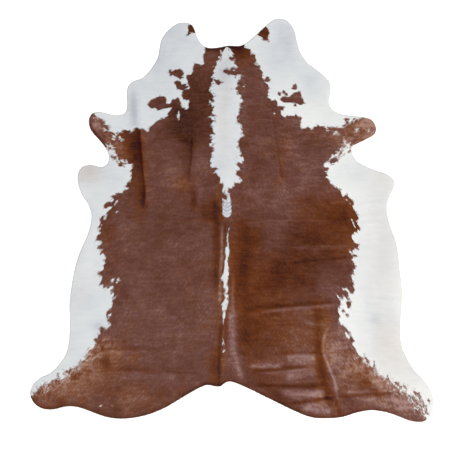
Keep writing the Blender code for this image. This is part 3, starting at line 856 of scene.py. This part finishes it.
def cloud(rows):
    """The sum of a table of clouds."""
    total = np.zeros(len(X))
    for _, cx, cy, rx, ry, change, *turn in rows:
        u, v, t = X - cx * UNIT, Y - cy * UNIT, math.radians(sum(turn))
        a, b = u * math.cos(t) + v * math.sin(t), v * math.cos(t) - u * math.sin(t)
        total += change * np.exp(-((a / rx / UNIT) ** 2) - (b / ry / UNIT) ** 2)
    return total


def beside(run, reach):
    """Points near a run: which, how far off, on which side, and how faded towards its ends."""
    near, far, side, along = nearest(X, Y, spline(chart(run), RUN_STEP), reach * UNIT)
    return near, far, side, smooth(along, -0.02, 0.14) * smooth(1 - along, -0.02, 0.14)


def turned(dx, dy, angle):
    return dx * np.cos(angle) - dy * np.sin(angle), dx * np.sin(angle) + dy * np.cos(angle)


def pigment():
    """How deep each point lies in the brown: negative in the white."""
    left, right = (chart(sum(side.values(), ())) for side in (MARGIN_LEFT, MARGIN_RIGHT))
    depth = depth_in(X, Y, np.vstack([left, right[::-1]]), MARK_REACH)
    for mark in WHITE_MARKS.values():
        depth = np.minimum(depth, -depth_in(X, Y, chart(mark), MARK_REACH))
    for mark in BROWN_MARKS.values():
        depth = np.maximum(depth, depth_in(X, Y, chart(mark), MARK_REACH) + SPOT_SPREAD)
    for x, y, r in FLECKS:
        depth = np.maximum(depth, SPOT_SPREAD + r * UNIT - np.hypot(X - x * UNIT, Y - y * UNIT))
    return depth


def crease_sheen_and_shade():
    """The painted sheen on crests and painted shade in furrows, as a change of tone."""
    tone = np.zeros(len(X))
    for _, width, change, *run in CREASE_SHEEN_AND_SHADE:
        near, far, _, fade = beside(run, 3 * width)
        tone[near] += change * fade * np.exp(-((far / width / UNIT) ** 2))
    return tone


def brown_tone():
    """Tone of the brown coat, from 0, deep rust, to 1, pale mauve, with painted sheen and
    shade in it.
    """
    side = smooth(X - SPINE * UNIT, -0.02, 0.02)
    # Painted shade and light: the right side, towards the light, is a little paler, and the neck,
    # away from it, a little deeper.
    tone = 0.58 + 0.07 * side - 0.06 * smooth(Y, -0.8, 0.9) + cloud(CLOUDS) + PAINTED_SHEEN_AND_SHADE
    # Painted shade along one side of each crease.
    for _, left, right, on_left, on_right, *run in EDGES:
        near, far, which, fade = beside(run, 4 * max(left, right))
        reach = np.where(which > 0, left, right) * UNIT
        # The run is drawn from the neck backwards, so its left is the photo's right.
        tone[near] += np.where(which > 0, on_left, on_right) * fade * np.exp(-far / reach)
    # Painted shade along the cut edge, where the hair overhangs it.
    for x, y, reach, change in SHADED_RIMS:
        close = np.exp(-((X - x * UNIT) ** 2 + (Y - y * UNIT) ** 2) / (reach * UNIT) ** 2)
        tone += change * close * np.exp(-np.maximum(DEEP, 0) / 0.012)
    tone += mottle(X, Y, (0.16, 0.09, 11), (0.12, 0.03, 12))
    tone += THINNED * mottle(X, Y, (0.4, 0.024, 14), (0.5, 0.011, 15))
    # Painted light and shade of fine wrinkles across the back.
    return tone + mottle(X / 6, Y, (0.20, 0.007, 13))


def white_tone():
    """Tone of the white coat, from 0, grey, to 1, bright, with painted shade in it."""
    # Painted shade: the white left of the spine is darker, away from the light.
    tone = 0.46 + 0.32 * smooth(X - SPINE * UNIT, -0.1, 0.4) + cloud(SHADE)
    tone += mottle(X, Y, (0.16, 0.12, 21), (0.10, 0.04, 22))
    # Painted light and shade of fine wrinkles across the coat.
    return tone + mottle(X / 6, Y, (0.12, 0.007, 23))


def rust():
    """How warm the brown is. The painted sheen on crests takes the rust out, and the painted
    shade in furrows is the deepest rust.
    """
    warmth = cloud(WARM) + 0.06 + mottle(X, Y, (0.4, 0.05, 24)) + mottle(X, Y, (0.5, 0.018, 25))
    return warmth - (1.6 * np.maximum(PAINTED_SHEEN_AND_SHADE, 0) + 1.5 * np.minimum(PAINTED_SHEEN_AND_SHADE, 0))


def nap():
    """The way the coat lies, as two fields."""
    u, v = np.abs(X / UNIT - SPINE), Y / UNIT
    out, back, total = 0.0, 0.0, 0.0
    for px, py, o, b in NAP:
        w = 1 / ((u - px) ** 2 + (v - py) ** 2 + 6) ** 1.5
        out, back, total = out + w * o, back + w * b, total + w
    out, back = out / total * np.minimum(1, 0.25 + u / 2.5), back / total
    turn = mottle(X, Y, (0.5, 0.11, 31), (0.35, 0.03, 32))
    dx, dy = turned(np.where(X > SPINE * UNIT, out, -out), -back, turn)
    size = np.hypot(dx, dy)
    return dx / size, dy / size


def herringbone(x, y):
    """The small lens behind the blaze: its ribs, from -1 to 1, and where they are."""
    u, v = x / UNIT - LENS_SPINE, y / UNIT
    ribs = np.sin(2 * math.pi * (v - LENS_SLANT * np.abs(u)) / LENS_PITCH)
    return ribs, (v > LENS_BACK) & (v < LENS_FRONT) & (np.abs(u) < LENS_HALF)


def relief():
    """Height of the fine creases and of the gentle waves of a hide that has been rolled."""
    rise = 0.0011 * noise(X, Y, 0.16, 41) + 0.0005 * noise(X, Y, 0.05, 42)
    for _, height, width, *run in CREASES:
        near, far, _, fade = beside(run, 3 * width)
        vary = 0.6 + 0.8 * noise(X[near], Y[near], 0.05, 43)
        rise[near] += height * vary * fade * np.exp(-((far / width / UNIT) ** 2))
    return rise * smooth(DEEP, -0.002, 0.03)


LIFT = part_lift()
PAINTED_SHEEN_AND_SHADE = crease_sheen_and_shade()
THINNED = np.clip(cloud(ROAN), 0, 1)
brown_depth = field(pigment(), -MARK_REACH)
brown = field(brown_tone(), 0.5)
white = field(white_tone(), 0.6)
warm = field(np.clip(rust(), 0, 1))
roan = field(THINNED)
cream = field(np.clip(cloud(CREAM), 0, 1))
wild = field(np.clip(cloud(WILD), -1, 1))
nap_x, nap_y = (field(v) for v in nap())
lift = field(LIFT(X, Y) + relief())


# ---------------------------------------------------------------- colours

# Coat colours as they look in daylight: place on a ramp of tone, (red, green, blue) out of 255.
# The darkest browns are partly painted shade, the palest mauve browns are painted sheen of
# reflected sky, and the bluish grey end of the white is painted shade.
BROWN = (
    (0.0, (50, 23, 10)), (0.2, (74, 38, 22)), (0.4, (90, 52, 40)), (0.6, (102, 65, 57)),
    (0.75, (112, 76, 69)), (0.9, (132, 97, 92)), (1.0, (156, 124, 120)),
)
WARM_BROWN = (
    (0.0, (56, 24, 3)), (0.2, (82, 40, 12)), (0.4, (100, 52, 24)), (0.6, (114, 66, 40)),
    (0.75, (128, 84, 62)), (0.9, (148, 108, 88)), (1.0, (176, 142, 124)),
)
WHITE = (
    (0.0, (182, 186, 193)), (0.35, (206, 209, 212)), (0.65, (221, 222, 221)),
    (1.0, (236, 236, 233)),
)
CREAMY = ((0.0, (186, 176, 170)), (0.5, (212, 205, 200)), (1.0, (230, 224, 218)))
SUEDE = ((0.0, (176, 160, 140)), (0.5, (192, 177, 156)), (1.0, (204, 191, 172)))
SUEDE_VEIN, SUEDE_NAP = (160, 142, 122), (168, 150, 128)
# How far up the hair's map each colour takes over from the one below it.
WARM_ROWS, WHITE_ROWS, CREAMY_ROWS = (0.0, 0.4), (0.45, 0.75), (0.82, 1.0)
WHITE_ROW = 0.8  # a plain white lock's place


def albedo(seen):
    """The colour of a surface that looks like seen in this light."""
    out = []
    for c in seen:
        c = c / 255
        c = c / 12.92 if c <= 0.04045 else ((c + 0.055) / 1.055) ** 2.4
        out.append(max(0.002, c - SHEEN) / DAYLIGHT)
    return (*out, 1.0)


def add(tree, kind, inputs=(), **settings):
    """A node with its settings, and its inputs by name or number as values or links."""
    node = tree.nodes.new(kind)
    for name, value in settings.items():
        setattr(node, name, value)
    for name, value in dict(inputs).items():
        if isinstance(value, bpy.types.NodeSocket):
            tree.links.new(value, node.inputs[name])
        else:
            node.inputs[name].default_value = value
    return node


def maths(tree, operation, *values):
    return add(tree, "ShaderNodeMath", enumerate(values), operation=operation).outputs[0]


def swing(tree, value, strength):
    """A value from 0 to 1 as a change about 0."""
    return maths(tree, "MULTIPLY", maths(tree, "SUBTRACT", value, 0.5), strength)


def between(tree, value, low, high):
    """0 below low, 1 above high."""
    inputs = {"Value": value, "From Min": low, "From Max": high}
    return add(tree, "ShaderNodeMapRange", inputs).outputs["Result"]


def mixed(tree, share, a, b):
    return add(tree, "ShaderNodeMix", {0: share, 6: a, 7: b}, data_type="RGBA").outputs[2]


def ramp(tree, place, stops):
    node = add(tree, "ShaderNodeValToRGB", {0: place})
    while len(node.color_ramp.elements) < len(stops):
        node.color_ramp.elements.new(0.5)
    for element, (where, seen) in zip(node.color_ramp.elements, stops):
        element.position = where
        element.color = albedo(seen)
    return node.outputs["Color"]


def fine_noise(tree, size, detail, stretch=(1, 1, 1)):
    """Noise from 0 to 1 in the object's own coordinates, with features of about size metres."""
    place = add(tree, "ShaderNodeTexCoord").outputs["Object"]
    mapping = add(tree, "ShaderNodeMapping", {"Vector": place, "Scale": stretch})
    inputs = {"Vector": mapping.outputs[0], "Scale": 1 / size, "Detail": detail}
    return add(tree, "ShaderNodeTexNoise", inputs).outputs[0]


def new_material(name, roughness, specular):
    material = bpy.data.materials.new(name)
    material.use_nodes = True
    tree = material.node_tree
    shader = tree.nodes["Principled BSDF"]
    shader.inputs["Roughness"].default_value = roughness
    shader.inputs["Specular IOR Level"].default_value = specular
    return material, tree, shader


def hair_material():
    """Each lock's own place in its map: across is tone, and up is brown, warm, white, creamy."""
    material, tree, shader = new_material("hair", roughness=0.5, specular=0.12)
    place = add(tree, "ShaderNodeUVMap", uv_map="OFBake").outputs[0]
    tone, row = add(tree, "ShaderNodeSeparateXYZ", {0: place}).outputs[:2]
    colour = ramp(tree, tone, BROWN)
    above = ((WARM_BROWN, WARM_ROWS), (WHITE, WHITE_ROWS), (CREAMY, CREAMY_ROWS))
    for stops, rows in above:
        colour = mixed(tree, between(tree, row, *rows), colour, ramp(tree, tone, stops))
    tree.links.new(colour, shader.inputs["Base Color"])
    return material


def coat_material():
    """The coat between the locks, in the same colours, from the skin's own attributes."""
    material, tree, shader = new_material("coat", roughness=0.7, specular=0.05)

    def told(name):
        return add(tree, "ShaderNodeAttribute", attribute_name=name).outputs["Fac"]

    # The coat between the locks is a little deeper than they are, painted shade below them.
    def shaded(name, change):
        return maths(tree, "ADD", maths(tree, "SUBTRACT", told(name), 0.06), change)

    soft = swing(tree, fine_noise(tree, 0.012, 2), 0.25)
    edge = maths(tree, "ADD", told("depth"), swing(tree, fine_noise(tree, 0.006, 3), 0.012))
    tone, shade = shaded("tone", soft), shaded("shade", maths(tree, "MULTIPLY", soft, 0.4))
    colour = mixed(tree, told("warm"), ramp(tree, tone, BROWN), ramp(tree, tone, WARM_BROWN))
    pale = mixed(tree, told("cream"), ramp(tree, shade, WHITE), ramp(tree, shade, CREAMY))
    colour = mixed(tree, between(tree, edge, -0.0006, 0.0006), pale, colour)
    tree.links.new(colour, shader.inputs["Base Color"])
    return material


def suede_material():
    """The flesh side: pale tanned suede, a little mottled, with faint veins."""
    material, tree, shader = new_material("suede", roughness=0.95, specular=0.1)
    colour = ramp(tree, between(tree, fine_noise(tree, 0.16, 5), 0.3, 0.7), SUEDE)
    vein = maths(tree, "SUBTRACT", fine_noise(tree, 0.11, 3, (1, 0.7, 1)), 0.5)
    vein = between(tree, maths(tree, "ABSOLUTE", vein), 0.012, 0.0)
    colour = mixed(tree, maths(tree, "MULTIPLY", vein, 0.25), colour, albedo(SUEDE_VEIN))
    fluff = fine_noise(tree, 0.004, 3)
    colour = mixed(tree, maths(tree, "MULTIPLY", fluff, 0.3), colour, albedo(SUEDE_NAP))
    tree.links.new(colour, shader.inputs["Base Color"])
    bump = add(tree, "ShaderNodeBump", {"Height": fluff, "Strength": 0.35, "Distance": 0.0006})
    tree.links.new(bump.outputs[0], shader.inputs["Normal"])
    return material


def floor_material():
    material, _, shader = new_material("floor", roughness=1.0, specular=0.0)
    shader.inputs["Base Color"].default_value = FLOOR_COLOUR
    return material


# ---------------------------------------------------------------- the skin

MAP_SIDE = 2.3  # metres across the skin's map
UNDER_MAP, TOP_MAP = (0.245, (0.753, 0.005)), (0.745, (0.003, 0.25))  # size and corner


def new_piece(name, vertices, faces, materials, smooth_shaded=True):
    """A mesh piece from arrays: faces is one array of triangles."""
    mesh = bpy.data.meshes.new(name)
    mesh.vertices.add(len(vertices))
    mesh.vertices.foreach_set("co", np.ascontiguousarray(vertices, np.float32).ravel())
    mesh.loops.add(faces.size)
    mesh.loops.foreach_set("vertex_index", np.ascontiguousarray(faces, np.int32).ravel())
    mesh.polygons.add(len(faces))
    mesh.polygons.foreach_set("loop_start", np.arange(0, faces.size, 3, dtype=np.int32))
    mesh.polygons.foreach_set("use_smooth", np.full(len(faces), smooth_shaded))
    for material in materials:
        mesh.materials.append(material)
    mesh.update(calc_edges=True)
    mesh.validate()
    piece = bpy.data.objects.new(name, mesh)
    bpy.context.scene.collection.objects.link(piece)
    return piece


def add_map(piece, uv):
    """The piece's own map, one place for each corner of each triangle."""
    layer = piece.data.uv_layers.new(name="OFBake")
    layer.data.foreach_set("uv", uv.astype(np.float32).ravel())


def hex_grid(step, seed, jitter=0.0):
    high = math.sqrt(0.75)
    rows = math.ceil(HALF_SIDE / (step * high))
    j, i = np.meshgrid(np.arange(-rows, rows + 1), np.arange(-rows, rows + 1))
    x, y = ((i + (j % 2) / 2) * step).ravel(), (j * step * high).ravel()
    rng = np.random.default_rng(seed)
    return tuple(v + rng.uniform(-jitter, jitter, v.size) * step for v in (x, y))


def filled(ring, step, clearance):
    """A ring filled with evenly spread points: all points, and triangles that face up."""
    x, y = hex_grid(step, 3)
    keep = edge_depth(x, y) > clearance
    points = [Vector(p) for p in ring] + [Vector(p) for p in zip(x[keep], y[keep])]
    edges = [(i, (i + 1) % len(ring)) for i in range(len(ring))]
    flat, _, faces, _, _, _ = delaunay_2d_cdt(points, edges, [], 1, 1e-7)
    flat, faces = np.array(flat), np.array(faces)
    a, b, c = (flat[faces[:, k]].T for k in range(3))
    down = (b[0] - a[0]) * (c[1] - a[1]) - (b[1] - a[1]) * (c[0] - a[0]) < 0
    faces[down] = faces[down][:, ::-1]
    return flat, faces


def build_skin(materials):
    """The skin: coat roots on top, a softly rounded cut edge and the suede flesh side below."""
    n = len(OUTLINE)
    along = np.roll(OUTLINE, -1, 0) - np.roll(OUTLINE, 1, 0)
    inward = np.stack([-along[:, 1], along[:, 0]], 1) / np.hypot(*along.T)[:, None]
    layers = [OUTLINE + inward * inset for inset in RIM_INSETS]
    layers[0], under_faces = filled(layers[0], UNDER_STEP, 0.45 * UNDER_STEP)
    layers[3], top_faces = filled(layers[3], TOP_STEP, RIM_INSETS[3] + 0.6 * TOP_STEP)
    vertices = np.vstack([
        np.column_stack([layer, lift(*layer.T) + rise]) for layer, rise in zip(layers, RIM_RISES)
    ])
    starts = np.concatenate(([0], np.cumsum([len(layer) for layer in layers])))
    faces = [under_faces[:, ::-1]]
    i, j = np.arange(n), (np.arange(n) + 1) % n
    for a, b in zip(starts[:3], starts[1:4]):
        faces += [np.column_stack([a + i, a + j, b + j]), np.column_stack([a + i, b + j, b + i])]
    faces = np.vstack([*faces, top_faces + starts[3]])
    skin = new_piece("skin", vertices, faces, materials)
    below = np.arange(len(faces)) < len(faces) - len(top_faces)
    skin.data.polygons.foreach_set("material_index", below.astype(np.int32))
    x, y = vertices[:, 0], vertices[:, 1]
    charts = {"depth": brown_depth, "tone": brown, "shade": white, "warm": warm, "cream": cream}
    for name, values in charts.items():
        told = skin.data.attributes.new(name, "FLOAT", "POINT")
        told.data.foreach_set("value", values(x, y).astype(np.float32))
    # Both sides lie flat in the piece's map: the coat large, the flesh side small beside it.
    uv = np.column_stack([x, y])[faces.ravel()] / MAP_SIDE + 0.5
    small, large = (uv * size + corner for size, corner in (UNDER_MAP, TOP_MAP))
    add_map(skin, np.where(np.repeat(below, 3)[:, None], small, large))
    return skin


# ---------------------------------------------------------------- the coat


def lay_locks(rng):
    """The locks' middles, the way they lie, and their lengths and widths."""
    x, y = hex_grid(LOCK_GAP, 5, 0.42)
    keep = edge_depth(x, y) > LOCK_INSET
    x, y = x[keep], y[keep]
    n = len(x)
    curly = np.maximum(wild(x, y), 0)
    turn = rng.normal(0, 0.10, n) * (1 + 3 * curly)
    in_lens = herringbone(x, y)[1]
    dx = np.where(in_lens, LENS_LIE[0] * np.sign(x - LENS_SPINE * UNIT), nap_x(x, y))
    dy = np.where(in_lens, LENS_LIE[1], nap_y(x, y))
    size = np.hypot(dx, dy) + 1e-9
    dx, dy = turned(dx / size, dy / size, turn)
    length = LOCK_LENGTH * rng.uniform(*LENGTHS, n) * (1 - 0.3 * curly)
    width = LOCK_WIDTH * rng.uniform(*WIDTHS, n)
    reach = rng.uniform(*TIP_REACH, n)
    # Tips end a little over the cut edge, and roots stay inside it.
    for _ in range(4):
        over = -edge_depth(x + dx * length * 0.5, y + dy * length * 0.5) - reach
        over = np.maximum(over, 0)
        x, y, length = x - dx * over * 0.6, y - dy * over * 0.6, length - over * 0.6
        over = ROOT_INSET - edge_depth(x - dx * length * 0.5, y - dy * length * 0.5)
        over = np.maximum(over, 0)
        x, y, length = x + dx * over * 0.5, y + dy * over * 0.5, length - over
    keep = (length > SHORTEST_LOCK) & (edge_depth(x, y) > LOCK_INSET)
    return (v[keep] for v in (x, y, dx, dy, length, width))


def colour_locks(rng, x, y, dx, dy):
    """Each lock's place in the colours, from where it grows, and which locks are brown."""
    n = len(x)
    clumped = streaks(x, y, dx, dy, 0.0105, 0.026, 50)
    ragged = streaks(x, y, dx, dy, 0.005, 0.020, 51)
    thin, loose = roan(x, y), wild(x, y)
    # The edge of the brown breaks up: least near the spine, most where it is wild.
    wide = np.maximum(smooth(np.abs(x / UNIT - SPINE), 0.8, 4), 0.7 * smooth(y / UNIT, 5, 9))
    broken = (0.4 + 0.6 * wide) * (1 + 0.8 * loose)
    depth = brown_depth(x, y) + (0.0030 * clumped + 0.0035 * ragged) * broken
    crumbs = 2 * (noise(x, y, 0.011, 57) + noise(x, y, 0.006, 58) - 1)
    depth = depth + (0.020 * np.maximum(loose, 0) + 0.0015) * crumbs
    depth = depth + rng.normal(0, 0.0009, n)
    # White flecks in the brown near its margin, brown dots in the white, and the lens's ribs.
    fleck = streaks(x, y, dx, dy, 0.0065, 0.022, 52) + rng.normal(0, 0.2, n)
    margin = np.exp(-np.maximum(brown_depth(x, y), 0) / (0.012 + 0.045 * thin))
    is_brown = (depth > 0) & (fleck < 3.2 - 1.5 * thin - (0.9 + 1.3 * thin) * margin)
    dot = 2.4 * (noise(x, y, 0.008, 54) + noise(x, y, 0.005, 55) - 1) + 0.1 * ragged
    rare = 0.65 - 0.35 * loose - 30 * np.minimum(depth, 0)
    is_brown |= (depth > -0.006 - 0.010 * loose) & (dot > rare)
    ribs, in_lens = herringbone(x, y)
    is_brown |= in_lens & (ribs > LENS_BROWN)
    clump = streaks(x, y, dx, dy, 0.0045, 0.024, 53)
    tone = brown(x, y) + (0.05 + 0.10 * thin) * clump + mottle(x, y, (0.22, 0.0075, 56))
    tone = tone + rng.normal(0, 0.07, n) + 0.38 * thin * margin
    tint = mottle(x, y, (0.5, 0.009, 59)) + rng.normal(0, 0.12, n)
    gold = np.clip(WARM_ROWS[1] * (warm(x, y) + tint + 0.3 * thin * margin), *WARM_ROWS)
    shade = white(x, y) + 0.04 * clump + rng.normal(0, 0.035, n)
    shade = shade + np.where(in_lens, 0.3 - 0.35 * ribs, 0)
    row = np.where(is_brown, gold, WHITE_ROW + 0.2 * cream(x, y))
    return np.where(is_brown, tone, shade), row, is_brown


def shape_locks(rng, x, y, dx, dy, length, width, is_brown):
    """Each lock's root below the undercoat, its two sides, and its tip, which stands up."""
    n = len(x)
    lean = rng.normal(0, 0.0006, n)
    bx, by = x - dx * length * WIDEST - dy * lean, y - dy * length * WIDEST + dx * lean
    ground = SKIN + UNDERCOAT
    rise = LOCK_RISE * rng.uniform(*RISES, n) * np.where(is_brown, 1, 0.7)
    root = (x - dx * length * 0.5, y - dy * length * 0.5)
    tip = (x + dx * length * 0.5, y + dy * length * 0.5)
    droop = 0.9 * np.maximum(0, -edge_depth(*tip))
    under = lift(bx, by) + ground - SIDE_DEPTH
    return np.stack([
        np.column_stack([*root, lift(*root) + ground - ROOT_DEPTH]),
        *(np.column_stack([bx - dy * w, by + dx * w, under]) for w in (width / 2, -width / 2)),
        np.column_stack([*tip, lift(*tip) + np.maximum(LOWEST_TIP, ground + rise - droop)]),
    ], 1)


def build_locks(material):
    """The coat as locks of hair, each a closed blade that rises from the undercoat to its tip."""
    rng = np.random.default_rng(7)
    x, y, dx, dy, length, width = lay_locks(rng)
    grows = (x + dx * length * GROWS, y + dy * length * GROWS)
    column, row, is_brown = colour_locks(rng, *grows, dx, dy)
    corners = shape_locks(rng, x, y, dx, dy, length, width, is_brown)
    pattern = np.array([(0, 3, 1), (0, 2, 3), (0, 1, 2), (3, 2, 1)])
    # Along a lock the colour is deeper at its root, painted shade where it sinks among the
    # others, and paler at its tip.
    change = np.array([-0.06, 0.0, 0.0, 0.04])
    # A triangle's three corners lie a little apart in the map.
    spread = np.array([(-0.006, -0.004), (0.006, -0.004), (0.0, 0.006)])
    order = np.argsort(-y, kind="stable")
    names = ("neck", "shoulders", "ribs", "loins", "thighs")
    for name, share in zip(names, np.array_split(order, len(names))):
        faces = (np.arange(len(share))[:, None, None] * 4 + pattern[None]).reshape(-1, 3)
        piece = new_piece("hair_" + name, corners[share].reshape(-1, 3), faces, [material], False)
        u = column[share][:, None, None] + change[pattern][None]
        v = np.broadcast_to(row[share][:, None, None], u.shape)
        add_map(piece, np.clip(np.stack([np.clip(u, 0.01, 0.99), v], -1) + spread, 0.002, 0.998))
        yield piece


# ---------------------------------------------------------------- the scene


def add_light(name, kind, where, power, colour, size):
    """A light that points at the hide's middle. Its size is metres, or an angle for a sun."""
    light = bpy.data.lights.new(name, kind)
    light.energy, light.color = power, colour
    if kind == "SUN":
        light.angle = size
    else:
        light.shape, light.size = "SQUARE", size
    lamp = bpy.data.objects.new(name, light)
    bpy.context.scene.collection.objects.link(lamp)
    lamp.location = where
    lamp.rotation_euler = Vector(where).to_track_quat("Z", "Y").to_euler()


def build_surroundings():
    scene = bpy.context.scene
    world = bpy.data.worlds.new("daylight")
    world.use_nodes = True
    background = world.node_tree.nodes["Background"]
    background.inputs["Color"].default_value = WORLD_COLOUR
    background.inputs["Strength"].default_value = WORLD_LIGHT
    scene.world = world
    add_light("window", "SUN", SUN_FROM, SUN_LIGHT, SUN_COLOUR, math.radians(SUN_SPREAD))
    add_light("lamp", "AREA", LAMP_FROM, LAMP_LIGHT, LAMP_COLOUR, LAMP_SIZE)
    bpy.ops.mesh.primitive_plane_add(size=FLOOR_SIZE, location=(0, 0, -FLOOR_DROP))
    floor = bpy.context.object
    floor.name = "floor"
    floor.data.materials.append(floor_material())
    camera = bpy.data.cameras.new("camera")
    camera.lens, camera.sensor_width = CAMERA_LENS, CAMERA_SENSOR
    eye = bpy.data.objects.new("camera", camera)
    scene.collection.objects.link(eye)
    eye.location = CAMERA
    scene.camera = eye
    scene.view_settings.view_transform = "Standard"


skin = build_skin([coat_material(), suede_material()])
hair = list(build_locks(hair_material()))
for piece in [skin, *hair]:
    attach(piece, "root")
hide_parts("hide")
build_surroundings()
